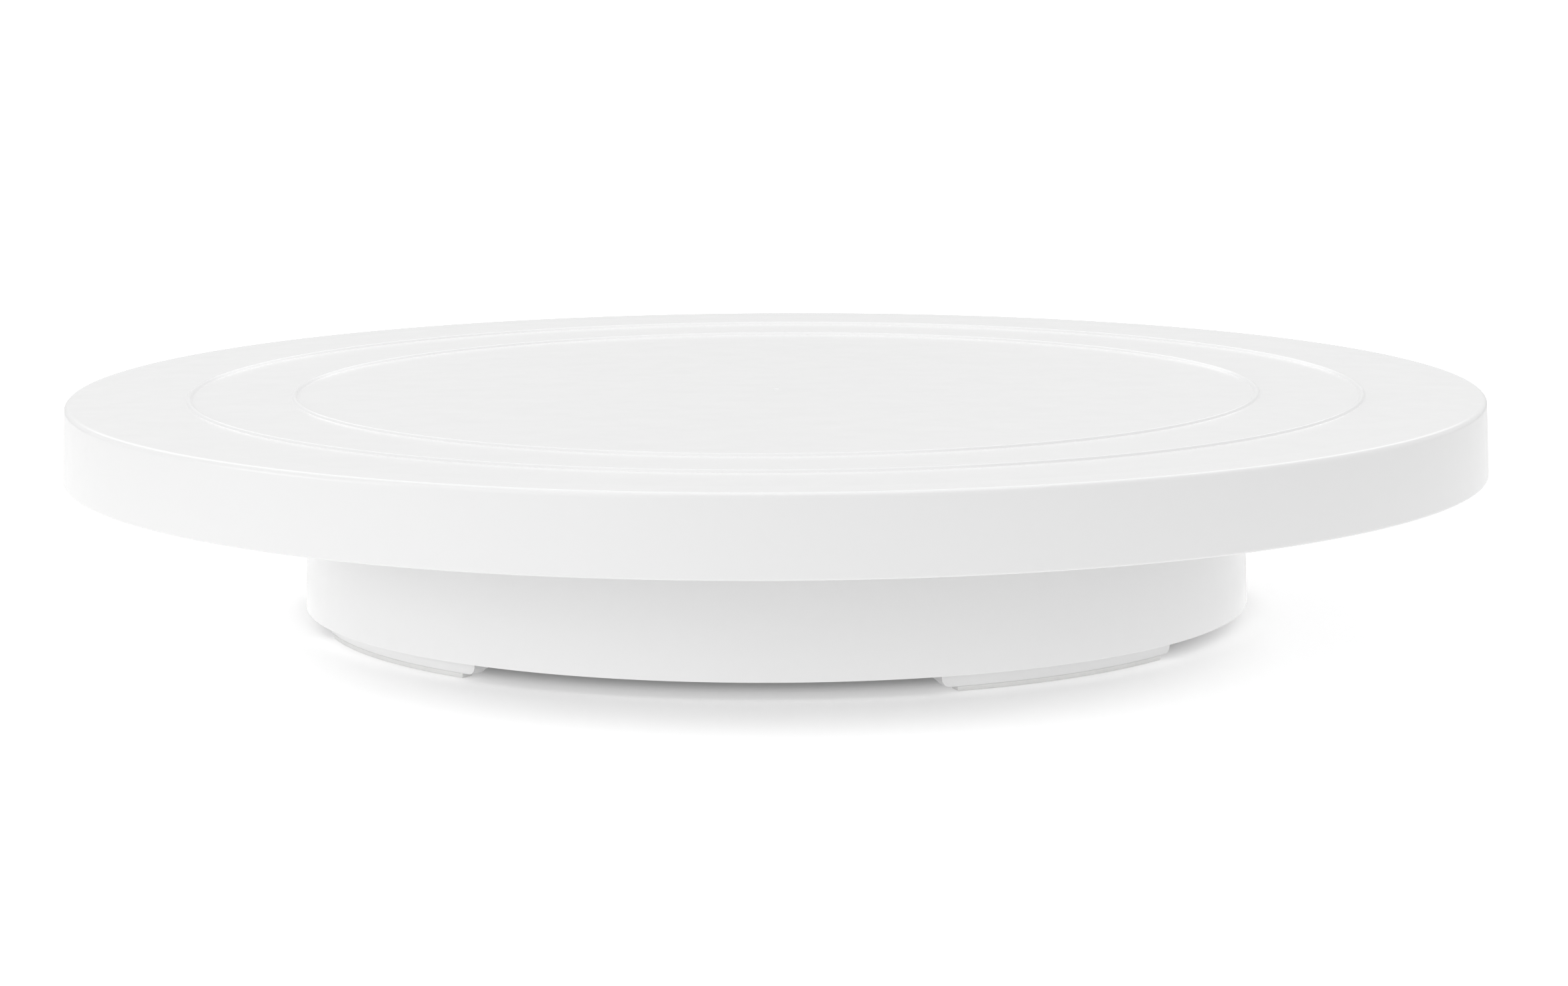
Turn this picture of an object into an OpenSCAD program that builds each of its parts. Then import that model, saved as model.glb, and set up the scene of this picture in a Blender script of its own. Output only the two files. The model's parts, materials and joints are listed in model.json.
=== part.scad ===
// Lazy susan turntable: a round moulded plate that spins on a low drum-shaped base.
// The origin is on the standing surface, on the spin axis, +Z up. The base's front gap faces -Y.
// Under the plate runs a ring of steel balls in a moulded cage, and a steel spindle keeps it centred.

/* [Plate] */
// Diameter of the plate, over the skirt's lower edge
plate_d = 280; // [240:1:320]
// Height of the top face above the surface that the base stands on
top_z = 45; // [44:0.5:52]
// Height of the skirt, from its lower edge to the top face
skirt_h = 15; // [13:0.5:17]
// Draft of the skirt: how far it leans in towards the top
skirt_draft = 2.3; // [0:0.1:4]
// Rounding of the plate's upper edge
rim_r = 1.5; // [0.8:0.1:2]
// Thickness of the plate's top
plate_t = 2.4; // [2:0.1:3]
// Thickness of the skirt
skirt_t = 2.2; // [1.6:0.1:3]
// Radius of the inner raised ring on the top
ring_1_r = 94.8; // [60:0.1:100]
// Radius of the outer raised ring on the top
ring_2_r = 115.3; // [104:0.1:118]
// Number of stiffening ribs under the plate
plate_ribs = 16; // [8:2:24]

/* [Base] */
// Diameter of the base's shell at its lower edge
base_d = 186.6; // [170:0.1:200]
// Height of the shell's lower edge above the surface
shell_z = 3.6; // [3:0.1:5]
// Draft of the shell: how far it leans in towards the top
shell_draft = 1.9; // [0:0.1:3]
// Wall of the shell and of the deck
base_t = 2.4; // [2:0.1:3]
// Number of stiffening ribs under the deck
base_ribs = 12; // [8:4:16]

/* [Feet] */
// Inset of the feet from the shell's outer edge
foot_inset = 3.3; // [2.6:0.1:5]
// Width of a foot, measured towards the centre
foot_w = 5.5; // [4.5:0.5:14]
// Arc that one foot covers
foot_arc = 36; // [24:1:44]
// Arc of the front and rear gaps between the feet
gap_arc = 57.7; // [50:0.1:66]
// Thickness of the grip pads under the feet
pad_t = 0.9; // [0.6:0.1:1.5]

/* [Bearing] */
// Number of balls
balls = 24; // [16:1:24]
// Diameter of a ball
ball_d = 5; // [4:0.5:5]
// Radius of the circle that the balls run on
track_r = 72; // [66:0.5:76]
// Diameter of the spindle
spindle_d = 8; // [6:0.5:8]

/* [Hidden] */
$fn = 144;
eps = 0.01;
play = 0.05;                          // running clearance of the balls and the spindle
ARC_STEPS = 6;                        // straight steps in a rounded corner of an outline

plate_r = plate_d / 2;
skirt_z = top_z - skirt_h;
ceiling_z = top_z - plate_t;          // underside of the plate's top
rib_h = 3.5;                          // depth of the plate's ribs and of its ball track
rib_t = 1.8;
ring_w = 1;                           // raised rings on the top
ring_h = 0.5;
gate_r = 0.7;                         // moulding gate mark in the middle of the top
gate_h = 0.12;

ball_r = ball_d / 2;
groove_r = ball_r + play;
track_w = 11;
track_gap = 2.4;                      // between the plate's track and the base's track
ball_z = ceiling_z - rib_h - track_gap / 2;
cage_t = 1.9;
cage_w = 8.4;
cage_z = ball_z - track_gap / 2 + play;
pocket_r = ball_r + 0.1;

deck_z = ball_z - track_gap / 2 - 2.6;  // top of the base's deck
base_r = base_d / 2;
shell_top_r = base_r - tan(shell_draft) * (deck_z - shell_z);
deck_round = 2;                       // rounding where the shell meets the deck
base_rib_h = 3.4;

foot_r = base_r - foot_inset;
foot_inner_r = foot_r - foot_w;
foot_top_z = shell_z + 5;
foot_round = 1.7;                     // lower corners at a foot's two ends
foot_bevel = 2.6;                     // width of the bevel under a foot's inner side
foot_rise = 1.2;                      // height of that bevel
pad_inset = 2;                        // degrees at each end of a pad
foot_angles = [for (side = [-1, 1], end = [-1, 1]) side * 90 + end * (gap_arc + foot_arc) / 2];

spindle_r = spindle_d / 2;
bush_wall = 2;
bush_r = spindle_r + bush_wall;
flange_r = bush_r + 3;
flange_t = 1;
boss_r = bush_r + 4.5;                // boss of the base around the bush
boss_z = 22;                          // lower end of that boss
hub_r = spindle_r + 5;                // boss of the plate around the spindle
hub_z = deck_z + flange_t + 0.4;
spindle_top_z = top_z - 3.8;
washer_r = 8.5;
nylon_t = 0.8;
steel_t = 1;
spindle_z = boss_z - nylon_t - 2 * play;  // the spindle's lower end, against the steel washer
screw_r = 2;
screw_l = 8.5;
screw_head_r = 3.8;
screw_head_h = 2.4;

BALL_NAMES = [for (i = [1 : balls]) str("ball_", i < 10 ? "0" : "", i)];
PAD_NAMES = ["foot_pad_front_left", "foot_pad_front_right", "foot_pad_rear_right", "foot_pad_rear_left"];

// Points of a rounded corner about centre c, from angle a to angle b
function corner(c, r, a, b) =
    [for (i = [0 : ARC_STEPS]) let (t = a + (b - a) * i / ARC_STEPS) c + r * [cos(t), sin(t)]];

// Centre of a round of radius r under a flat top at height z, inside a wall that leans in by draft
// degrees from the foot radius at foot_z
function rim_centre(z, r, foot_radius, foot_z, draft) =
    [foot_radius - (r + sin(draft) * (z - r - foot_z)) / cos(draft), z - r];

// A solid of revolution from an outline in radius and height
module turned() rotate_extrude() children();

// A flat ring with chamfered edges
module washer(inner, outer, z, t, chamfer = 0.15)
    turned() polygon([
        [inner, z], [outer - chamfer, z], [outer, z + chamfer],
        [outer, z + t - chamfer], [outer - chamfer, z + t], [inner, z + t]
    ]);

// Radial ribs, evenly spread round the axis
module ribs(count, from_r, to_r, z, h, t)
    for (i = [0 : count - 1])
        rotate([0, 0, (i + 0.5) * 360 / count])
            translate([from_r, -t / 2, z])
                cube([to_r - from_r, t, h]);

// Section of a low ring that stands on the top, with round shoulders
module ring_outline(r) {
    shoulder = 0.35;
    foot = 0.5;                       // how far the section reaches down into the plate
    x = ring_w / 2 - shoulder;
    y = top_z + ring_h - shoulder;
    polygon(concat(
        [[r - ring_w / 2, top_z - foot], [r + ring_w / 2, top_z - foot]],
        corner([r + x, y], shoulder, 0, 90),
        corner([r - x, y], shoulder, 90, 180)
    ));
}

module plate_outline() {
    rim = rim_centre(top_z, rim_r, plate_r, skirt_z, skirt_draft);
    lip = 0.4;                        // rounding of the skirt's lower edge
    lean = tan(skirt_draft) * (ceiling_z - skirt_z);
    inner_r = plate_r - skirt_t;
    polygon(concat(
        [[0, ceiling_z], [inner_r - lean, ceiling_z], [inner_r, skirt_z + lip]],
        corner([inner_r + lip, skirt_z + lip], lip, 180, 270),
        corner([plate_r - lip, skirt_z + lip], lip, 270, 360),
        corner(rim, rim_r, skirt_draft, 90),
        [[0, top_z]]
    ));
    ring_outline(ring_1_r);
    ring_outline(ring_2_r);
}

// Section of a raised ring, centred on radius r
module band(r, w, z, h) translate([r - w / 2, z]) square([w, h]);

// Section of a ball track's raised ring, with its groove
module track_outline(z, h) difference() {
    band(track_r, track_w, z, h);
    translate([track_r, ball_z]) circle(r = groove_r);
}

module turntable_plate() {
    rib_z = ceiling_z - rib_h;
    wall_r = plate_r - skirt_t - 0.3;
    color("white")
    difference() {
        union() {
            turned() plate_outline();
            turned() track_outline(rib_z, rib_h + eps);
            turned() band((plate_r + track_r) / 2, rib_t, rib_z, rib_h + eps);
            translate([0, 0, hub_z]) cylinder(r = hub_r, h = ceiling_z - hub_z + eps);
            ribs(plate_ribs, track_r + track_w / 2 - 1, wall_r, rib_z, rib_h + eps, rib_t);
            ribs(plate_ribs / 2, hub_r - 1, track_r - track_w / 2 + 1, rib_z, rib_h + eps, rib_t);
        }
        translate([0, 0, hub_z - 1]) cylinder(r = spindle_r, h = spindle_top_z - hub_z + 1);
        translate([0, 0, top_z - gate_h]) cylinder(r = gate_r, h = 1);
    }
}

module shell_outline() {
    inner_r = shell_top_r - base_t;
    edge = 0.3;                       // rounding of the shell's lower edge
    rim = rim_centre(deck_z, deck_round, base_r, shell_z, shell_draft);
    polygon(concat(
        [[bush_r, deck_z - base_t], [inner_r - 1, deck_z - base_t], [inner_r, deck_z - base_t - 1]],
        [[base_r - base_t, shell_z]],
        corner([base_r - edge, shell_z + edge], edge, 270, 360),
        corner(rim, deck_round, shell_draft, 90),
        [[bush_r, deck_z]]
    ));
}

// A block that covers one foot's arc about +X, with round lower corners at its two ends. The foot's
// section is cut from it.
module foot_block() {
    reach = 2 * base_r;
    tall = foot_top_z + 1;            // taller than a foot, so that the cuts go right through
    difference() {
        translate([foot_inner_r / 2, -reach / 2, pad_t]) cube([reach / 2, reach, foot_top_z]);
        for (side = [-1, 1])
            rotate([0, 0, side * foot_arc / 2]) {
                translate([0, side > 0 ? 0 : -reach, 0]) cube([reach, reach, tall + pad_t]);
                difference() {
                    translate([0, side > 0 ? -foot_round : 0, 0]) cube([reach, foot_round, pad_t + foot_round]);
                    translate([0, -side * foot_round, pad_t + foot_round])
                        rotate([0, 90, 0]) cylinder(r = foot_round, h = reach);
                }
            }
    }
}

// Section of a foot: it hangs below the shell, with a bevel under its inner side, and above the
// shell's edge it reaches into the wall
module feet_outline() {
    step_z = shell_z + 0.4;
    polygon([
        [foot_r, pad_t], [foot_r, shell_z + 1], [foot_inner_r, shell_z + 1],
        [foot_inner_r, pad_t + foot_rise], [foot_inner_r + foot_bevel, pad_t],
    ]);
    translate([foot_inner_r, step_z]) square([foot_w + 1.6, foot_top_z - step_z]);
}

module base_housing() {
    rib_z = deck_z - base_t - base_rib_h;
    color("white")
    difference() {
        union() {
            turned() shell_outline();
            turned() track_outline(deck_z - eps, ball_z - track_gap / 2 - deck_z + eps);
            turned() band(track_r, rib_t, rib_z, base_rib_h + eps);
            translate([0, 0, boss_z]) cylinder(r = boss_r, h = deck_z - boss_z);
            ribs(base_ribs, boss_r - 1, shell_top_r - base_t + 0.5, rib_z, base_rib_h + eps, rib_t);
            intersection() {
                turned() feet_outline();
                union() for (a = foot_angles) rotate([0, 0, a]) foot_block();
            }
        }
        translate([0, 0, boss_z - 1]) cylinder(r = bush_r, h = deck_z - boss_z + 2);
    }
}

module ball_cage() {
    color("gainsboro")
    difference() {
        washer(track_r - cage_w / 2, track_r + cage_w / 2, cage_z, cage_t, 0.2);
        for (i = [0 : balls - 1])
            rotate([0, 0, i * 360 / balls])
                translate([track_r, 0, cage_z - 1])
                    cylinder(r = pocket_r, h = cage_t + 2, $fn = 48);
    }
}

module ball(i) {
    color("silver")
    rotate([0, 0, i * 360 / balls])
        translate([track_r, 0, ball_z])
            sphere(r = ball_r, $fn = 48);
}

module spindle() {
    chamfer = 0.4;
    tapped_l = screw_l + 0.5;
    color("silver")
    turned() polygon([
        [0, spindle_z + tapped_l], [screw_r, spindle_z + tapped_l], [screw_r, spindle_z],
        [spindle_r - chamfer, spindle_z], [spindle_r, spindle_z + chamfer],
        [spindle_r, spindle_top_z - chamfer], [spindle_r - chamfer, spindle_top_z], [0, spindle_top_z]
    ]);
}

module spindle_bush() {
    bore = spindle_r + play;
    color("ivory")
    turned() polygon([
        [bore, boss_z], [bush_r, boss_z], [bush_r, deck_z], [flange_r, deck_z],
        [flange_r, deck_z + flange_t], [bore, deck_z + flange_t]
    ]);
}

module thrust_washer() {
    color("ivory") washer(spindle_r + 0.15, washer_r, boss_z - nylon_t, nylon_t);
}

module flat_washer() {
    color("silver") washer(screw_r + 0.15, washer_r, spindle_z - steel_t, steel_t);
}

module retaining_screw() {
    head_z = spindle_z - steel_t;
    slot = [screw_head_r * 1.1, 0.9, 1.3];
    round_r = 1.6;                    // rounding of the pan head
    color("silver")
    difference() {
        turned() polygon(concat(
            [[0, head_z + screw_l], [screw_r - 0.4, head_z + screw_l], [screw_r, head_z + screw_l - 0.4]],
            [[screw_r, head_z], [screw_head_r, head_z]],
            corner([screw_head_r - round_r, head_z - screw_head_h + round_r], round_r, 0, -90),
            [[0, head_z - screw_head_h]]
        ));
        for (a = [0, 90])
            rotate([0, 0, a])
                translate([-slot.x / 2, -slot.y / 2, head_z - screw_head_h - eps])
                    cube([slot.x, slot.y, slot.z]);
    }
}

module foot_pad(a) {
    arc = foot_arc - 2 * pad_inset;
    color("whitesmoke")
    rotate([0, 0, a - arc / 2])
        rotate_extrude(angle = arc)
            translate([foot_inner_r + foot_bevel + 0.2, 0]) square([foot_w - foot_bevel - 0.3, pad_t]);
}

turntable_plate();
base_housing();
ball_cage();
spindle();
spindle_bush();
thrust_washer();
flat_washer();
retaining_screw();
for (i = [0 : len(PAD_NAMES) - 1])
    foot_pad(foot_angles[i]);
for (i = [0 : balls - 1])
    ball(i);
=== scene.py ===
"""Lazy susan turntable: detailed mouldings, materials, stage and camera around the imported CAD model.

Everything is in metres in the CAD frame. Outlines are written in millimetres and scaled by MM.
"""

import json
import math

import bmesh
import bpy
from mathutils import Matrix, Vector

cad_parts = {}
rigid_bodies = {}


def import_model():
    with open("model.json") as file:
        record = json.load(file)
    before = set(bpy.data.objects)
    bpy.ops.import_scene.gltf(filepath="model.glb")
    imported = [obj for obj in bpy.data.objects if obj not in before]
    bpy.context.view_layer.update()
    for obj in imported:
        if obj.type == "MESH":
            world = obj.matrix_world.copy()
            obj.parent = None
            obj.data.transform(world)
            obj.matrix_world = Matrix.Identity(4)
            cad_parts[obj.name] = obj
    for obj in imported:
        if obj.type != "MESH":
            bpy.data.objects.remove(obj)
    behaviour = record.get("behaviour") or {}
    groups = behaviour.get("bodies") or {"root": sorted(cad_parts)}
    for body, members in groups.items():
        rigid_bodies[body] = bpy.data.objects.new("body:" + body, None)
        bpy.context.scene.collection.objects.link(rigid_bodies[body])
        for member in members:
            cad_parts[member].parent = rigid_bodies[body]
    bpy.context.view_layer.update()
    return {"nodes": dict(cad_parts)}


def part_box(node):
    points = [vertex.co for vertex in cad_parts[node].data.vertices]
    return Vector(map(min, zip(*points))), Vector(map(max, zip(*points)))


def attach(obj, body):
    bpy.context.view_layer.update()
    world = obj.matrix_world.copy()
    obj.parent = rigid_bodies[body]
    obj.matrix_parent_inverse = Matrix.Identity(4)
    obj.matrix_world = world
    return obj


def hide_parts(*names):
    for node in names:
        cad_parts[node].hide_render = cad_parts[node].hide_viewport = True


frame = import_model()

MM = 0.001

# ---------------------------------------------------------------- sizes, in millimetres


def cad_box_mm(node):
    """Lowest and highest corner of a CAD node, in millimetres."""
    low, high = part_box(node)
    return low / MM, high / MM


PLATE_LOW, PLATE_HIGH = cad_box_mm("turntable_plate")
BASE_LOW, BASE_HIGH = cad_box_mm("base_housing")
PAD_LOW, PAD_HIGH = cad_box_mm("foot_pad_front_right")
BALL_LOW, BALL_HIGH = cad_box_mm("ball_01")
SPINDLE_LOW, SPINDLE_HIGH = cad_box_mm("spindle")
BUSH_LOW, BUSH_HIGH = cad_box_mm("spindle_bush")

RING_H = 0.5                        # height of the raised rings
TOP_Z = PLATE_HIGH.z - RING_H
PLATE_R = 140.0
SKIRT_Z = PLATE_LOW.z
PLATE_T = 2.4                       # thickness of the plate, and below it of its skirt
SKIRT_T = 2.2
SKIRT_LEAN = math.tan(math.radians(2.3))
RING_RADII = (94.8, 115.3)
RING_W = 1.0                        # width of a ring in the CAD
CEILING_Z = TOP_Z - PLATE_T
RIB_H = 3.5
RIB_T = 1.8

TRACK_R = (BALL_LOW.x + BALL_HIGH.x) / 2
BALL_Z = (BALL_LOW.z + BALL_HIGH.z) / 2
GROOVE_R = 2.55
TRACK_W = 11.0
TRACK_GAP = 2.4                     # between the plate's track and the base's track
TRACK_FLAT = 3.0                    # half the width of the part of a track that holds the groove

BASE_R = 93.3
BASE_T = 2.4
SHELL_Z = 3.6
SHELL_LEAN = math.tan(math.radians(1.9))
DECK_Z = BALL_Z - TRACK_GAP / 2 - 2.6
BASE_RIB_H = 3.4
BOSS_R = 10.5
BOSS_Z = BUSH_LOW.z
BUSH_R = 6.0
HUB_R = 9.0
HUB_Z = BUSH_HIGH.z + 0.4
SPINDLE_R = SPINDLE_HIGH.x

FOOT_R = 90.0
FOOT_W = 5.5
FOOT_BEVEL = 2.6                    # width of the bevel under a foot's inner side
FOOT_RISE = 1.2                     # height of that bevel
FOOT_ARC = 36.0
FOOT_ROUND = 1.7                    # lower corners at a foot's two ends
FOOT_ANGLES = {"front_left": -136.85, "front_right": -43.15, "rear_right": 43.15, "rear_left": 136.85}
PAD_T = PAD_HIGH.z
PAD_ARC = 32.0
PAD_ROUND = 0.35                    # lower corners at a pad's two ends

AROUND = 288                        # steps round a turned piece


# ---------------------------------------------------------------- mesh helpers


def link(name, data):
    piece = bpy.data.objects.new(name, data)
    bpy.context.scene.collection.objects.link(piece)
    return piece


def arc(centre, radius, start, end, steps):
    """Points on an arc, with angles in degrees."""
    angles = [math.radians(start + (end - start) * i / steps) for i in range(steps + 1)]
    return [(centre[0] + radius * math.cos(a), centre[1] + radius * math.sin(a)) for a in angles]


def rounded(corners, closed, steps=5, margin=0.12):
    """An outline from (x, y, rounding) corners. Each rounding becomes a tangent arc, with a support
    point a little way along both straight sides, so that flat faces shade flat."""
    count = len(corners)
    places = [Vector(corner[:2]) for corner in corners]

    def sides(i):
        before = (places[i - 1] - places[i]).normalized()
        after = (places[(i + 1) % count] - places[i]).normalized()
        return before, after

    def reach(i):
        if corners[i][2] <= 0 or (not closed and i in (0, count - 1)):
            return 0.0
        before, after = sides(i)
        return corners[i][2] / math.tan(before.angle(after) / 2)

    reaches = [reach(i) for i in range(count)]

    def support(i, j):
        free = (places[i] - places[j]).length - reaches[i] - reaches[j]
        return reaches[i] + min(margin, free / 3)

    points = []
    for i, here in enumerate(places):
        if reaches[i] == 0:
            points.append(here)
            continue
        before, after = sides(i)
        half = before.angle(after) / 2
        middle = here + (before + after).normalized() * corners[i][2] / math.sin(half)
        start = here + before * reaches[i] - middle
        turn = math.pi - 2 * half
        if before.x * after.y > before.y * after.x:
            turn = -turn
        points.append(here + before * support(i, i - 1))
        for k in range(steps + 1):
            spoke = Matrix.Rotation(turn * k / steps, 2) @ start
            points.append(middle + spoke)
        points.append(here + after * support(i, (i + 1) % count))
    return points


def turned_mesh(name, outline, closed):
    """A solid of revolution about Z. A closed outline never touches the axis, an open one starts and
    ends on it."""
    bm = bmesh.new()
    rings = []
    for r, z in outline:
        if r < 1e-6:
            rings.append([bm.verts.new((0, 0, z * MM))])
            continue
        spots = [2 * math.pi * k / AROUND for k in range(AROUND)]
        rings.append([bm.verts.new((r * MM * math.cos(a), r * MM * math.sin(a), z * MM)) for a in spots])
    pairs = list(zip(rings, rings[1:]))
    if closed:
        pairs.append((rings[-1], rings[0]))
    for first, second in pairs:
        for k in range(AROUND):
            n = (k + 1) % AROUND
            corners = [
                first[k % len(first)], second[k % len(second)],
                second[n % len(second)], first[n % len(first)],
            ]
            unique = list(dict.fromkeys(corners))
            bm.faces.new(unique)
    bmesh.ops.recalc_face_normals(bm, faces=bm.faces)
    data = bpy.data.meshes.new(name)
    bm.to_mesh(data)
    bm.free()
    return data


def prism_mesh(name, section, start, end, place):
    """A straight bar: a closed section in (y, z) swept along x from start to end, then placed."""
    bm = bmesh.new()
    ends = [[bm.verts.new((x * MM, y * MM, z * MM)) for y, z in section] for x in (start, end)]
    count = len(section)
    for k in range(count):
        n = (k + 1) % count
        bm.faces.new((ends[0][k], ends[0][n], ends[1][n], ends[1][k]))
    bm.faces.new(ends[0])
    bm.faces.new(list(reversed(ends[1])))
    bmesh.ops.recalc_face_normals(bm, faces=bm.faces)
    bmesh.ops.transform(bm, matrix=place, verts=bm.verts)
    data = bpy.data.meshes.new(name)
    bm.to_mesh(data)
    bm.free()
    return data


def merged(name, body, parts):
    """One closed mesh from a body and parts that reach into it."""
    whole = link(name, body)
    group = bpy.data.collections.new(name + "_parts")
    for i, data in enumerate(parts):
        group.objects.link(bpy.data.objects.new(f"{name}_part_{i}", data))
    modifier = whole.modifiers.new("union", "BOOLEAN")
    modifier.operation = "UNION"
    modifier.operand_type = "COLLECTION"
    modifier.collection = group
    modifier.solver = "MANIFOLD"
    graph = bpy.context.evaluated_depsgraph_get()
    data = bpy.data.meshes.new_from_object(whole.evaluated_get(graph))
    whole.modifiers.clear()
    whole.data = data
    for part in list(group.objects):
        bpy.data.objects.remove(part)
    bpy.data.collections.remove(group)
    return whole


def smooth_by_angle(piece, degrees=32):
    """Smooth shading with creases where two faces meet at more than the angle."""
    bm = bmesh.new()
    bm.from_mesh(piece.data)
    limit = math.radians(degrees)
    for face in bm.faces:
        face.smooth = True
    for edge in bm.edges:
        edge.smooth = len(edge.link_faces) == 2 and edge.calc_face_angle(0) < limit
    bm.to_mesh(piece.data)
    bm.free()


def rib_mesh(name, start, end, low, high, angle):
    """A stiffening rib with a little draft and a round lower edge."""
    half = RIB_T / 2
    taper = half - 0.15
    corners = [(-half, high, 0), (-taper, low, 0.4), (taper, low, 0.4), (half, high, 0)]
    section = rounded(corners, True, steps=3)
    return prism_mesh(name, section, start, end, Matrix.Rotation(math.radians(angle), 4, "Z"))


def rib_angles(count):
    return [(i + 0.5) * 360 / count for i in range(count)]


# ---------------------------------------------------------------- pieces


def ring_corners(radius):
    """A low raised ring on the plate's top, going outwards, with softer sides than the CAD's."""
    foot, crest = RING_W / 2 + 0.15, RING_W / 2 - 0.28
    return [
        (radius - foot, TOP_Z, 0.14),
        (radius - crest, TOP_Z + RING_H, 0.40),
        (radius + crest, TOP_Z + RING_H, 0.40),
        (radius + foot, TOP_Z, 0.14),
    ]


def track_points(edge_z, up):
    """The ball track's face and groove, in the direction of travel: inwards on the plate, outwards on
    the base."""
    reach = abs(edge_z - BALL_Z)
    slope = math.degrees(math.asin(reach / GROOVE_R))
    if up:
        return arc((TRACK_R, BALL_Z), GROOVE_R, slope, 180 - slope, 16)
    return arc((TRACK_R, BALL_Z), GROOVE_R, 180 + slope, 360 - slope, 16)


def make_plate():
    gate_r, gate_depth = 0.7, 0.12
    crown, crown_r = 0.08, 132      # how far the top falls towards the rim, and where that starts
    skirt_middle = 7                # height of an extra row of points on the skirt
    wall_top_r = PLATE_R - SKIRT_LEAN * (TOP_Z - crown - SKIRT_Z)
    inner_r = PLATE_R - SKIRT_T
    track_z = CEILING_Z - RIB_H
    outer, inner = TRACK_R + TRACK_W / 2, TRACK_R - TRACK_W / 2
    band_r = (PLATE_R + TRACK_R) / 2
    gate_z = TOP_Z - gate_depth
    upper = [(0, gate_z, 0), (gate_r - 0.1, gate_z, 0.05), (gate_r, TOP_Z, 0.08)]
    upper += [(radius, TOP_Z, 0) for radius in (30, 60, 85)]
    for radius in RING_RADII:
        upper += ring_corners(radius)
    upper += [
        (crown_r, TOP_Z, 40),
        (wall_top_r, TOP_Z - crown, 1.0),
        (PLATE_R - SKIRT_LEAN * skirt_middle, SKIRT_Z + skirt_middle, 0),
        (PLATE_R, SKIRT_Z, 0.4),
        (inner_r, SKIRT_Z, 0.4),
        (inner_r - SKIRT_LEAN * (CEILING_Z - SKIRT_Z), CEILING_Z, 1.0),
        (band_r + 1.0, CEILING_Z, 0.3), (band_r + 0.7, track_z, 0.3),
        (band_r - 0.7, track_z, 0.3), (band_r - 1.0, CEILING_Z, 0.3),
        (outer, CEILING_Z, 0.4), (outer, track_z, 0.3), (TRACK_R + TRACK_FLAT, track_z, 0),
    ]
    lower = [
        (TRACK_R - TRACK_FLAT, track_z, 0), (inner, track_z, 0.3), (inner, CEILING_Z, 0.4),
        (HUB_R, CEILING_Z, 0.5), (HUB_R, HUB_Z, 0.3), (SPINDLE_R, HUB_Z, 0.2),
        (SPINDLE_R, SPINDLE_HIGH.z, 0), (0, SPINDLE_HIGH.z, 0),
    ]
    outline = rounded(upper, False, steps=8) + track_points(track_z, True) + rounded(lower, False, steps=4)
    ribs = [rib_mesh("rib", outer - 1, inner_r - 0.6, track_z, CEILING_Z + 0.5, a) for a in rib_angles(16)]
    ribs += [rib_mesh("rib", HUB_R - 1, inner + 1, track_z, CEILING_Z + 0.5, a) for a in rib_angles(8)]
    plate = merged("plate_moulding", turned_mesh("plate_moulding", outline, False), ribs)
    smooth_by_angle(plate)
    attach(plate, "turntable")
    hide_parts("turntable_plate")
    return plate


def foot_mesh(name, angle):
    """An arc-shaped foot: round lower corners at its ends, and a step into the shell's wall."""
    step_z = SHELL_Z + 0.4
    top_z = SHELL_Z + 5
    section = rounded([
        (FOOT_R - FOOT_W, top_z, 0), (FOOT_R - FOOT_W, PAD_T + FOOT_RISE, 0.5),
        (FOOT_R - FOOT_W + FOOT_BEVEL, PAD_T, 0.5), (FOOT_R, PAD_T, 0.2),
        (FOOT_R, step_z, 0), (FOOT_R + 1.6, step_z, 0), (FOOT_R + 1.6, top_z, 0),
    ], True, steps=4)
    half = math.radians(FOOT_ARC / 2)
    round_arc = FOOT_ROUND / FOOT_R
    ends = [half - round_arc * (1 - math.cos(math.pi / 2 * k / 8)) for k in range(9)]
    middle = [(half - round_arc) * (1 - k / 12) for k in range(1, 12)]
    positive = ends + middle
    spots = [-a for a in positive] + [0.0] + positive[::-1]
    bm = bmesh.new()
    rows = []
    for a in spots:
        s = FOOT_R * (half - abs(a))
        lift = FOOT_ROUND - math.sqrt(max(0.0, FOOT_ROUND ** 2 - max(0.0, FOOT_ROUND - s) ** 2))
        row = []
        for r, z in section:
            height = max(z, PAD_T + lift) if z < PAD_T + FOOT_ROUND else z
            row.append(bm.verts.new((r * MM * math.cos(a), r * MM * math.sin(a), height * MM)))
        rows.append(row)
    count = len(section)
    for first, second in zip(rows, rows[1:]):
        for k in range(count):
            n = (k + 1) % count
            bm.faces.new((first[k], first[n], second[n], second[k]))
    bm.faces.new(rows[0])
    bm.faces.new(list(reversed(rows[-1])))
    bmesh.ops.remove_doubles(bm, verts=bm.verts, dist=1e-6)
    bmesh.ops.recalc_face_normals(bm, faces=bm.faces)
    bmesh.ops.rotate(bm, matrix=Matrix.Rotation(math.radians(angle), 3, "Z"), verts=bm.verts)
    data = bpy.data.meshes.new(name)
    bm.to_mesh(data)
    bm.free()
    return data


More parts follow.
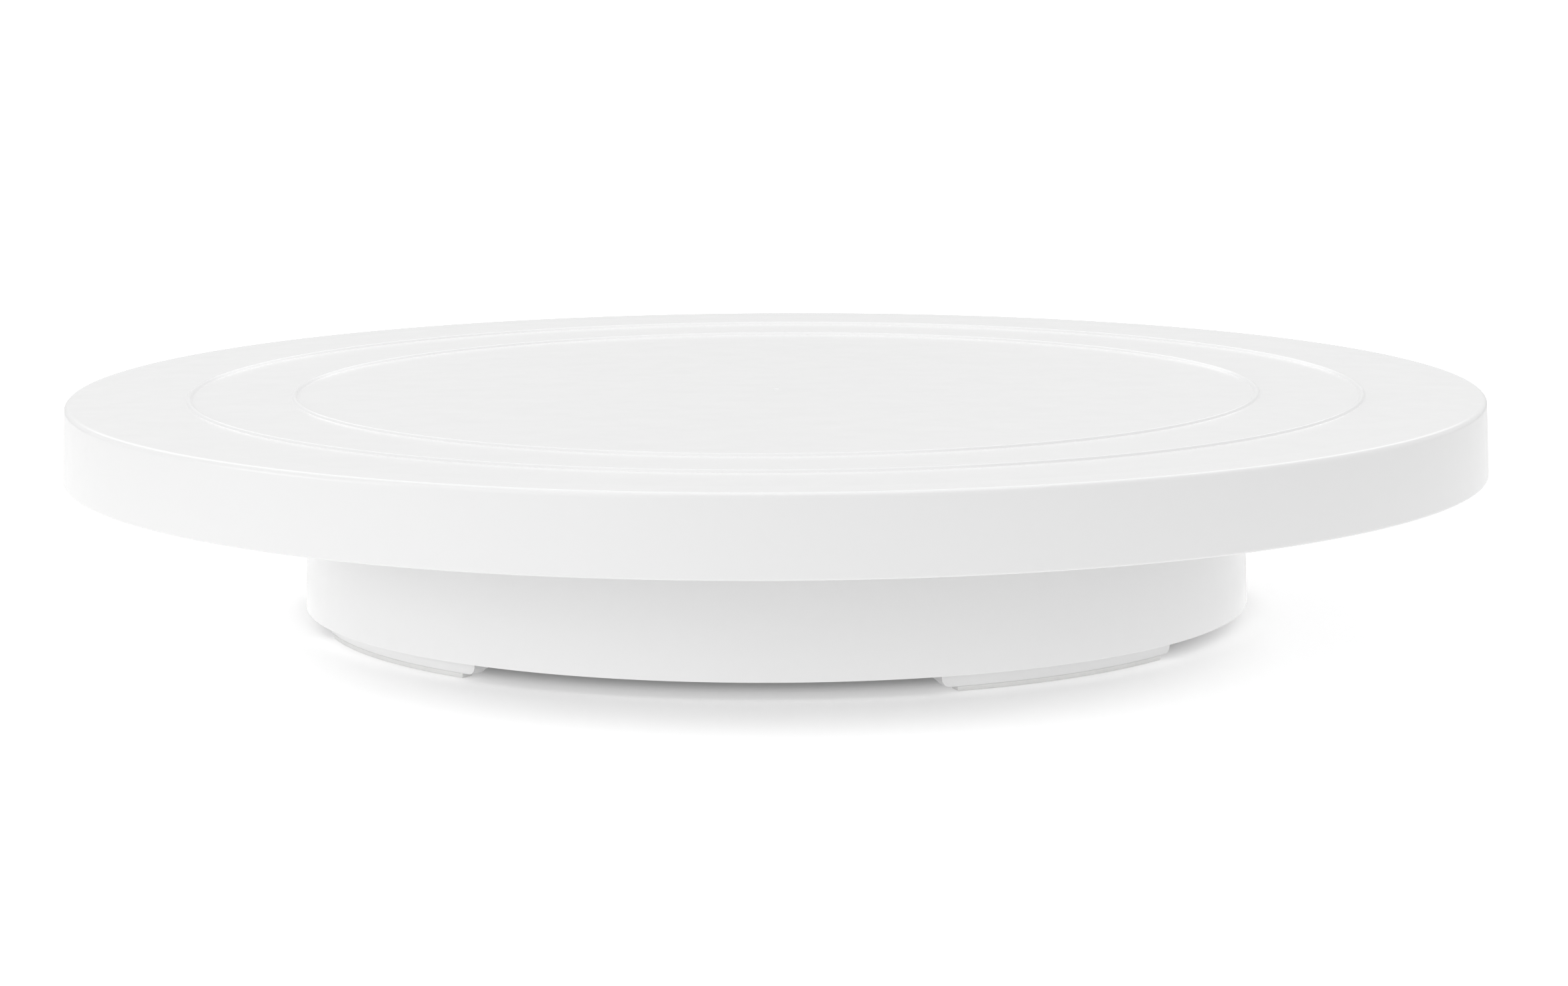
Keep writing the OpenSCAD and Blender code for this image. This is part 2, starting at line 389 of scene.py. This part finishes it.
def make_base():
    under_z = DECK_Z - BASE_T
    rib_z = under_z - BASE_RIB_H
    track_z = BALL_Z - TRACK_GAP / 2
    outer, inner = TRACK_R + TRACK_W / 2, TRACK_R - TRACK_W / 2
    shell_top_r = BASE_R - SHELL_LEAN * (DECK_Z - SHELL_Z)
    shell_middle = 16               # height of an extra row of points on the shell
    inside = [
        (BUSH_R, DECK_Z, 0), (inner, DECK_Z, 0.4), (inner, track_z, 0.3), (TRACK_R - TRACK_FLAT, track_z, 0),
    ]
    outside = [
        (TRACK_R + TRACK_FLAT, track_z, 0), (outer, track_z, 0.3), (outer, DECK_Z, 0.4),
        (shell_top_r, DECK_Z, 2.0), (BASE_R - SHELL_LEAN * shell_middle, SHELL_Z + shell_middle, 0),
        (BASE_R, SHELL_Z, 0.08), (BASE_R - BASE_T, SHELL_Z, 0.3),
        (shell_top_r - BASE_T, under_z, 1.2),
        (TRACK_R + 1.0, under_z, 0.3), (TRACK_R + 0.7, rib_z, 0.3),
        (TRACK_R - 0.7, rib_z, 0.3), (TRACK_R - 1.0, under_z, 0.3),
        (BOSS_R, under_z, 0.8), (BOSS_R, BOSS_Z, 0.4), (BUSH_R, BOSS_Z, 0),
    ]
    outline = rounded(inside, False, steps=4) + track_points(track_z, False)
    outline += rounded(outside, False, steps=6)
    rib_end = shell_top_r - BASE_T + 0.6
    parts = [rib_mesh("rib", BOSS_R - 1, rib_end, rib_z, under_z + 0.5, a) for a in rib_angles(12)]
    parts += [foot_mesh("foot", a) for a in FOOT_ANGLES.values()]
    base = merged("base_moulding", turned_mesh("base_moulding", outline, True), parts)
    smooth_by_angle(base)
    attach(base, "base")
    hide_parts("base_housing")
    return base


def make_pad(name, angle):
    """A soft grip pad under one foot: rounded all round, with fine grooves along its sole."""
    inner, outer = FOOT_R - FOOT_W + FOOT_BEVEL + 0.2, FOOT_R - 0.1
    grooves = 2
    groove_w, groove_d = 0.3, 0.2
    corners = [(inner, PAD_T, 0), (inner, 0, 0.25)]
    for i in range(grooves):
        r = inner + (outer - inner) * (i + 1) / (grooves + 1)
        corners += [(r - groove_w, 0, 0.12), (r - groove_w / 2, groove_d, 0.1)]
        corners += [(r + groove_w / 2, groove_d, 0.1), (r + groove_w, 0, 0.12)]
    corners += [(outer, 0, 0.25), (outer, PAD_T, 0)]
    section = rounded(corners, True, steps=3, margin=0.03)
    half = math.radians(PAD_ARC / 2)
    end_round = PAD_ROUND / FOOT_R
    ends = [half - end_round * (1 - math.cos(math.pi / 2 * k / 4)) for k in range(5)]
    middle = [(half - end_round) * (1 - k / 24) for k in range(1, 24)]
    positive = ends + middle
    spots = [-a for a in positive] + [0.0] + positive[::-1]
    bm = bmesh.new()
    rows = []
    for a in spots:
        s = FOOT_R * (half - abs(a))
        lift = PAD_ROUND - math.sqrt(max(0.0, PAD_ROUND ** 2 - max(0.0, PAD_ROUND - s) ** 2))
        turn = a + math.radians(angle)
        across, along = MM * math.cos(turn), MM * math.sin(turn)
        rows.append([bm.verts.new((r * across, r * along, max(z, lift) * MM)) for r, z in section])
    count = len(section)
    for first, second in zip(rows, rows[1:]):
        for k in range(count):
            n = (k + 1) % count
            bm.faces.new((first[k], first[n], second[n], second[k]))
    bm.faces.new(rows[0])
    bm.faces.new(list(reversed(rows[-1])))
    bmesh.ops.recalc_face_normals(bm, faces=bm.faces)
    data = bpy.data.meshes.new("pad_" + name)
    bm.to_mesh(data)
    bm.free()
    pad = link("grip_pad_" + name, data)
    smooth_by_angle(pad, 40)
    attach(pad, "base")
    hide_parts("foot_pad_" + name)
    return pad


# ---------------------------------------------------------------- materials
#
# Textures use object coordinates, so they turn with the piece. Sizes and depths are in millimetres.


def new_material(name, roughness, metallic=0.0, ior=1.5):
    """A material, its node tree, its shader and its object coordinates."""
    material = bpy.data.materials.new(name)
    material.use_nodes = True
    tree = material.node_tree
    shader = tree.nodes["Principled BSDF"]
    shader.inputs["Roughness"].default_value = roughness
    shader.inputs["Metallic"].default_value = metallic
    shader.inputs["IOR"].default_value = ior
    place = tree.nodes.new("ShaderNodeTexCoord").outputs["Object"]
    return material, tree, shader, place


def noise(tree, place, size, detail=2.0, seed=0.0):
    """Soft noise from 0 to 1, with features of about the given size."""
    node = tree.nodes.new("ShaderNodeTexNoise")
    node.noise_dimensions = "4D"
    node.inputs["W"].default_value = seed
    node.inputs["Scale"].default_value = 1 / (size * MM)
    node.inputs["Detail"].default_value = detail
    tree.links.new(place, node.inputs["Vector"])
    return node.outputs["Fac"]


def pebbles(tree, place, size):
    """Round pebbles of the given size, from 0 in the middle of each to 1 between them."""
    node = tree.nodes.new("ShaderNodeTexVoronoi")
    node.feature = "SMOOTH_F1"
    node.inputs["Scale"].default_value = 1 / (size * MM)
    node.inputs["Smoothness"].default_value = 0.4
    tree.links.new(place, node.inputs["Vector"])
    return node.outputs["Distance"]


def tool_marks(tree, place, pitch, seed=0.0):
    """Circular lines about Z, from turning on a lathe, along faces and round sides alike."""
    parts = tree.nodes.new("ShaderNodeSeparateXYZ")
    tree.links.new(place, parts.inputs[0])
    flat = tree.nodes.new("ShaderNodeCombineXYZ")
    tree.links.new(parts.outputs["X"], flat.inputs["X"])
    tree.links.new(parts.outputs["Y"], flat.inputs["Y"])
    reach = tree.nodes.new("ShaderNodeVectorMath")
    reach.operation = "LENGTH"
    tree.links.new(flat.outputs[0], reach.inputs[0])
    along = tree.nodes.new("ShaderNodeMath")
    tree.links.new(reach.outputs["Value"], along.inputs[0])
    tree.links.new(parts.outputs["Z"], along.inputs[1])
    shifted = tree.nodes.new("ShaderNodeMath")
    shifted.inputs[1].default_value = seed
    tree.links.new(along.outputs[0], shifted.inputs[0])
    lines = tree.nodes.new("ShaderNodeTexNoise")
    lines.noise_dimensions = "1D"
    lines.inputs["Scale"].default_value = 1 / (pitch * MM)
    tree.links.new(shifted.outputs[0], lines.inputs["W"])
    return lines.outputs["Fac"]


def stretched(tree, place, x, y, z):
    """Coordinates with one axis squeezed or stretched, for grain that runs one way."""
    node = tree.nodes.new("ShaderNodeMapping")
    node.inputs["Scale"].default_value = (x, y, z)
    tree.links.new(place, node.inputs["Vector"])
    return node.outputs["Vector"]


def spread(tree, value, low, high):
    """The middle of a noise value's range, stretched to run from low to high."""
    node = tree.nodes.new("ShaderNodeMapRange")
    node.inputs["From Min"].default_value = 0.3
    node.inputs["From Max"].default_value = 0.7
    node.inputs["To Min"].default_value = low
    node.inputs["To Max"].default_value = high
    tree.links.new(value, node.inputs["Value"])
    return node.outputs[0]


def tint(tree, shader, value, first, second):
    """Base colour that drifts between two colours."""
    node = tree.nodes.new("ShaderNodeMix")
    node.data_type = "RGBA"
    colours = [socket for socket in node.inputs if socket.type == "RGBA"]
    for socket, colour in zip(colours, (first, second)):
        socket.default_value = (*colour, 1)
    tree.links.new(value, node.inputs[0])
    result = [socket for socket in node.outputs if socket.type == "RGBA"][0]
    tree.links.new(result, shader.inputs["Base Color"])


def roughen(tree, shader, value, low, high):
    tree.links.new(spread(tree, value, low, high), shader.inputs["Roughness"])


def bump(tree, shader, layers):
    """Relief from (height, depth) layers, the coarsest first."""
    normal = None
    for height, depth in layers:
        node = tree.nodes.new("ShaderNodeBump")
        node.inputs["Strength"].default_value = 1.0
        node.inputs["Distance"].default_value = depth * MM
        tree.links.new(height, node.inputs["Height"])
        if normal is not None:
            tree.links.new(normal, node.inputs["Normal"])
        normal = node.outputs["Normal"]
    tree.links.new(normal, shader.inputs["Normal"])


def moulded_white(name, whites, gloss, grain_depth, seed):
    """Satin white moulded plastic: slow drifts in tone and gloss from how the melt flowed, a very
    slightly uneven surface, and the fine grain of the mould."""
    material, tree, shader, place = new_material(name, gloss[0])
    tint(tree, shader, spread(tree, noise(tree, place, 45, 1.0, seed), 0, 1), *whites)
    roughen(tree, shader, noise(tree, place, 6, 4.0, seed + 1), *gloss)
    bump(tree, shader, [
        (noise(tree, place, 28, 0.5, seed + 2), 0.003),
        (noise(tree, place, 0.9, 2.0, seed + 3), grain_depth),
        (noise(tree, place, 0.25, 1.0, seed + 4), grain_depth / 2),
    ])
    return material


def grip_rubber():
    """Pale soft rubber with a fine pebbled skin and a little dust in it."""
    material, tree, shader, place = new_material("grip_rubber", 0.6, ior=1.45)
    dust = noise(tree, place, 2.5, 5.0, 3.0)
    tint(tree, shader, spread(tree, dust, 0, 1), (0.82, 0.82, 0.81), (0.77, 0.77, 0.76))
    roughen(tree, shader, noise(tree, place, 1.2, 3.0, 4.0), 0.5, 0.7)
    shader.inputs["Sheen Weight"].default_value = 0.15
    bump(tree, shader, [(pebbles(tree, place, 0.7), -0.06), (noise(tree, place, 0.15, 2.0, 5.0), 0.01)])
    return material


def natural_nylon():
    """Milky unfilled nylon, slightly see-through, with moulding flow lines."""
    material, tree, shader, place = new_material("natural_nylon", 0.35, ior=1.53)
    flow = noise(tree, stretched(tree, place, 1, 1, 4), 4, 3.0, 11.0)
    tint(tree, shader, spread(tree, flow, 0, 1), (0.74, 0.72, 0.66), (0.80, 0.78, 0.72))
    shader.inputs["Subsurface Weight"].default_value = 0.2
    shader.inputs["Subsurface Radius"].default_value = (1.0, 0.9, 0.7)
    shader.inputs["Subsurface Scale"].default_value = 0.6 * MM
    roughen(tree, shader, noise(tree, place, 1.5, 3.0, 12.0), 0.28, 0.42)
    bump(tree, shader, [(flow, 0.02), (noise(tree, place, 0.2, 2.0, 13.0), 0.004)])
    return material


def acetal():
    """Ivory acetal with fine turning lines and a waxy gloss."""
    material, tree, shader, place = new_material("ivory_acetal", 0.3, ior=1.48)
    lines = tool_marks(tree, place, 0.12, 0.5)
    drift = spread(tree, noise(tree, place, 5, 2.0, 21.0), 0, 1)
    tint(tree, shader, drift, (0.78, 0.74, 0.63), (0.82, 0.79, 0.69))
    roughen(tree, shader, lines, 0.24, 0.38)
    bump(tree, shader, [(lines, 0.006), (noise(tree, place, 0.3, 2.0, 22.0), 0.003)])
    return material


def bearing_steel():
    """Polished chrome steel with a faint haze and hairline marks from running."""
    material, tree, shader, place = new_material("bearing_steel", 0.08, 1.0)
    haze = noise(tree, place, 1.1, 4.0, 31.0)
    tint(tree, shader, spread(tree, haze, 0, 1), (0.62, 0.63, 0.65), (0.70, 0.71, 0.72))
    roughen(tree, shader, haze, 0.05, 0.14)
    hairlines = noise(tree, stretched(tree, place, 1, 6, 1), 0.5, 3.0, 32.0)
    bump(tree, shader, [(hairlines, 0.0015)])
    return material


def turned_steel():
    """Ground steel rod: fine rings from turning, over a slow change in tone."""
    material, tree, shader, place = new_material("turned_steel", 0.25, 1.0)
    lines = tool_marks(tree, place, 0.09, 0.2)
    drift = spread(tree, noise(tree, place, 3, 3.0, 41.0), 0, 1)
    tint(tree, shader, drift, (0.50, 0.50, 0.51), (0.60, 0.60, 0.60))
    roughen(tree, shader, lines, 0.16, 0.34)
    shader.inputs["Anisotropic"].default_value = 0.4
    bump(tree, shader, [(lines, 0.005)])
    return material


def zinc_plate():
    """Bright zinc plating, cool and a little cloudy, over stamped and turned steel."""
    material, tree, shader, place = new_material("zinc_plate", 0.3, 1.0)
    cloud = noise(tree, place, 1.6, 5.0, 51.0)
    tint(tree, shader, spread(tree, cloud, 0, 1), (0.56, 0.58, 0.61), (0.69, 0.70, 0.70))
    roughen(tree, shader, cloud, 0.22, 0.4)
    bump(tree, shader, [
        (tool_marks(tree, place, 0.15, 0.7), 0.004),
        (noise(tree, place, 0.2, 3.0, 52.0), 0.003),
    ])
    return material


def dress(pieces, material):
    """Gives pieces a material, in place of any they had."""
    for piece in pieces:
        piece.data.materials.clear()
        piece.data.materials.append(material)


# ---------------------------------------------------------------- stage, light and camera

CAMERA_AZIMUTH = math.radians(9.45)
CAMERA_DISTANCE = 0.9134
CAMERA_HEIGHT = 0.1606
CAMERA_PITCH = math.radians(8.497)
CAMERA_YAW = math.radians(0.097)
CAMERA_ROLL = math.radians(-0.269)
LENS_MM = 106.69
SENSOR_MM = 36.0


def make_camera():
    data = bpy.data.cameras.new("camera")
    data.sensor_fit = "HORIZONTAL"
    data.sensor_width = SENSOR_MM
    data.lens = LENS_MM
    data.clip_start = 0.05
    data.clip_end = 50
    camera = link("camera", data)
    around = Matrix.Rotation(CAMERA_AZIMUTH, 4, "Z")
    place = Matrix.Translation((0, -CAMERA_DISTANCE, CAMERA_HEIGHT))
    turn = Matrix.Rotation(-CAMERA_YAW, 4, "Z") @ Matrix.Rotation(math.pi / 2 - CAMERA_PITCH, 4, "X")
    camera.matrix_world = around @ place @ turn @ Matrix.Rotation(CAMERA_ROLL, 4, "Z")
    bpy.context.scene.camera = camera


FLOOR_ALBEDO = 0.8

# Light that the white table gives off: a level all over, and steps of (start, end, strength) that grow
# from nothing at the first distance from the axis to their full strength at the second. The first
# step lights the hollow base from below.
TABLE_GLOW = 0.25
TABLE_GLOWS = [
    (0.070, 0.050, 0.15),
    (0.0905, 0.0945, 0.41),
    (0.100, 0.130, -0.19),
    (0.130, 0.200, -0.30),
    (0.200, 0.600, -0.17),
]

# How bright the table looks to the camera, a glow that lights nothing, in the same form, with how far each
# step's centre lies from the axis on the camera's side. It keeps the background white and paints a soft
# shadow round the base, a painted shadow which reaches furthest at the front.
TABLE_WHITE_AND_PAINTED_SHADOW = [
    (-0.013, 0.087, 0.100, 0.31),
    (0.000, 0.091, 0.098, -0.09),
    (0.038, 0.060, 0.100, 0.26),
    (0.000, 0.200, 0.600, 1.00),
]

# White walls round the set, as (azimuth, elevation, sharpness, strength). Azimuth 0 is the camera's
# side and it grows to the camera's right.
WALLS = [
    (180, 5, 8, 0.05),
    (-135, 0, 2, 0.80),
    (135, 0, 2, 0.48),
    (90, 0, 1, 0.76),
    (0, 20, 2, 0.64),
    (-50, 20, 2, 0.44),
]

# Softboxes, as (name, azimuth, elevation, width, height, watts)
SOFTBOXES = [
    ("overhead", 0, 89, 1.10, 1.10, 5.7),
    ("back", 180, 45, 1.50, 1.10, 4.8),
    ("high_left", -50, 45, 0.80, 0.60, 1.5),
    ("left", -75, 13, 0.70, 0.35, 1.5),
    ("front_left", -35, 13, 0.70, 0.35, 0.8),
]
SOFTBOX_DISTANCE = 1.2


def towards(azimuth, elevation):
    """The direction of a place round the set, with azimuth 0 on the camera's side."""
    a, e = math.radians(azimuth) + CAMERA_AZIMUTH, math.radians(elevation)
    return Vector((math.sin(a) * math.cos(e), -math.cos(a) * math.cos(e), math.sin(e)))


def sum_of(tree, values, start=0.0):
    """One output that adds up several."""
    total = start
    for value in values:
        add = tree.nodes.new("ShaderNodeMath")
        tree.links.new(value, add.inputs[0])
        if isinstance(total, float):
            add.inputs[1].default_value = total
        else:
            tree.links.new(total, add.inputs[1])
        total = add.outputs[0]
    return total


def floor_step(tree, place, centre, start, end, strength):
    """A level that grows smoothly with the distance from a centre on the camera's side of the axis."""
    shift = tree.nodes.new("ShaderNodeVectorMath")
    shift.operation = "DISTANCE"
    shift.inputs[1].default_value = towards(0, 0) * centre
    tree.links.new(place, shift.inputs[0])
    node = tree.nodes.new("ShaderNodeMapRange")
    node.interpolation_type = "SMOOTHSTEP"
    node.inputs["From Min"].default_value = start
    node.inputs["From Max"].default_value = end
    node.inputs["To Max"].default_value = strength
    tree.links.new(shift.outputs["Value"], node.inputs["Value"])
    return node.outputs[0]


def make_floor():
    """A plain white table that glows a little and, where the camera sees it, shows a painted shadow round
    the base. It can't be seen from below.
    """
    size = 30.0
    data = bpy.data.meshes.new("floor")
    corners = [(-size, -size, 0), (size, -size, 0), (size, size, 0), (-size, size, 0)]
    data.from_pydata(corners, [], [(0, 1, 2, 3)])
    floor = link("floor", data)
    material = bpy.data.materials.new("floor_white")
    material.use_nodes = True
    tree = material.node_tree
    nodes, links = tree.nodes, tree.links
    nodes.clear()
    out = nodes.new("ShaderNodeOutputMaterial")
    paint = nodes.new("ShaderNodeBsdfDiffuse")
    paint.inputs["Color"].default_value = (FLOOR_ALBEDO,) * 3 + (1,)
    place = nodes.new("ShaderNodeNewGeometry")
    glows = [floor_step(tree, place.outputs["Position"], 0, *step) for step in TABLE_GLOWS]
    # What the camera sees of the table: white all over, with a painted shadow round the base; it lights
    # nothing.
    tones = [floor_step(tree, place.outputs["Position"], *step) for step in TABLE_WHITE_AND_PAINTED_SHADOW]
    ray = nodes.new("ShaderNodeLightPath")
    level = nodes.new("ShaderNodeMix")
    links.new(ray.outputs["Is Camera Ray"], level.inputs["Factor"])
    links.new(sum_of(tree, glows, TABLE_GLOW), level.inputs["A"])
    links.new(sum_of(tree, tones), level.inputs["B"])
    glow = nodes.new("ShaderNodeEmission")
    links.new(level.outputs["Result"], glow.inputs["Strength"])
    both = nodes.new("ShaderNodeAddShader")
    links.new(paint.outputs[0], both.inputs[0])
    links.new(glow.outputs[0], both.inputs[1])
    clear = nodes.new("ShaderNodeBsdfTransparent")
    mix = nodes.new("ShaderNodeMixShader")
    links.new(place.outputs["Backfacing"], mix.inputs["Fac"])
    links.new(both.outputs[0], mix.inputs[1])
    links.new(clear.outputs[0], mix.inputs[2])
    links.new(mix.outputs[0], out.inputs["Surface"])
    data.materials.append(material)


def make_world():
    """Soft light from white walls, in front of a plain white backdrop."""
    world = bpy.data.worlds.new("studio")
    bpy.context.scene.world = world
    world.use_nodes = True
    tree = world.node_tree
    nodes, links = tree.nodes, tree.links
    way = nodes.new("ShaderNodeTexCoord")
    levels = []
    for azimuth, elevation, sharpness, strength in WALLS:
        dot = nodes.new("ShaderNodeVectorMath")
        dot.operation = "DOT_PRODUCT"
        dot.inputs[1].default_value = towards(azimuth, elevation)
        links.new(way.outputs["Generated"], dot.inputs[0])
        facing = nodes.new("ShaderNodeMath")
        facing.operation = "MAXIMUM"
        facing.inputs[1].default_value = 0
        links.new(dot.outputs["Value"], facing.inputs[0])
        fall = nodes.new("ShaderNodeMath")
        fall.operation = "POWER"
        fall.inputs[1].default_value = sharpness
        links.new(facing.outputs[0], fall.inputs[0])
        wall = nodes.new("ShaderNodeMath")
        wall.operation = "MULTIPLY"
        wall.inputs[1].default_value = strength
        links.new(fall.outputs[0], wall.inputs[0])
        levels.append(wall.outputs[0])
    walls = nodes["Background"]
    walls.inputs["Color"].default_value = (1, 1, 1, 1)
    links.new(sum_of(tree, levels), walls.inputs["Strength"])
    backdrop = nodes.new("ShaderNodeBackground")
    backdrop.inputs["Color"].default_value = (1, 1, 1, 1)
    ray = nodes.new("ShaderNodeLightPath")
    mix = nodes.new("ShaderNodeMixShader")
    links.new(ray.outputs["Is Camera Ray"], mix.inputs["Fac"])
    links.new(walls.outputs[0], mix.inputs[1])
    links.new(backdrop.outputs[0], mix.inputs[2])
    links.new(mix.outputs[0], nodes["World Output"].inputs["Surface"])


def make_softbox(name, azimuth, elevation, width, height, watts):
    """A soft rectangular lamp that faces the object."""
    data = bpy.data.lights.new(name, "AREA")
    data.shape = "RECTANGLE"
    data.size = width
    data.size_y = height
    data.energy = watts
    lamp = link("softbox_" + name, data)
    away = towards(azimuth, elevation)
    facing = away.to_track_quat("Z", "Y").to_matrix().to_4x4()
    lamp.matrix_world = Matrix.Translation(away * SOFTBOX_DISTANCE) @ facing
    lamp.visible_camera = False


# ---------------------------------------------------------------- build

make_camera()
make_floor()
make_world()
for box in SOFTBOXES:
    make_softbox(*box)
bpy.context.scene.view_settings.view_transform = "Standard"

plate = make_plate()
base = make_base()
pads = [make_pad(name, angle) for name, angle in FOOT_ANGLES.items()]

NODES = frame["nodes"]
WHITES = ((0.800, 0.800, 0.799), (0.796, 0.796, 0.797))
dress([plate], moulded_white("plate_white", WHITES, (0.210, 0.230), 0.0005, 1.0))
dress([base], moulded_white("base_white", WHITES, (0.220, 0.250), 0.0008, 7.0))
dress(pads, grip_rubber())
dress([NODES["ball_cage"]], natural_nylon())
dress([NODES["spindle_bush"], NODES["thrust_washer"]], acetal())
balls = [piece for name, piece in NODES.items() if name.startswith("ball_") and name != "ball_cage"]
dress(balls, bearing_steel())
dress([NODES["spindle"]], turned_steel())
dress([NODES["flat_washer"], NODES["retaining_screw"]], zinc_plate())
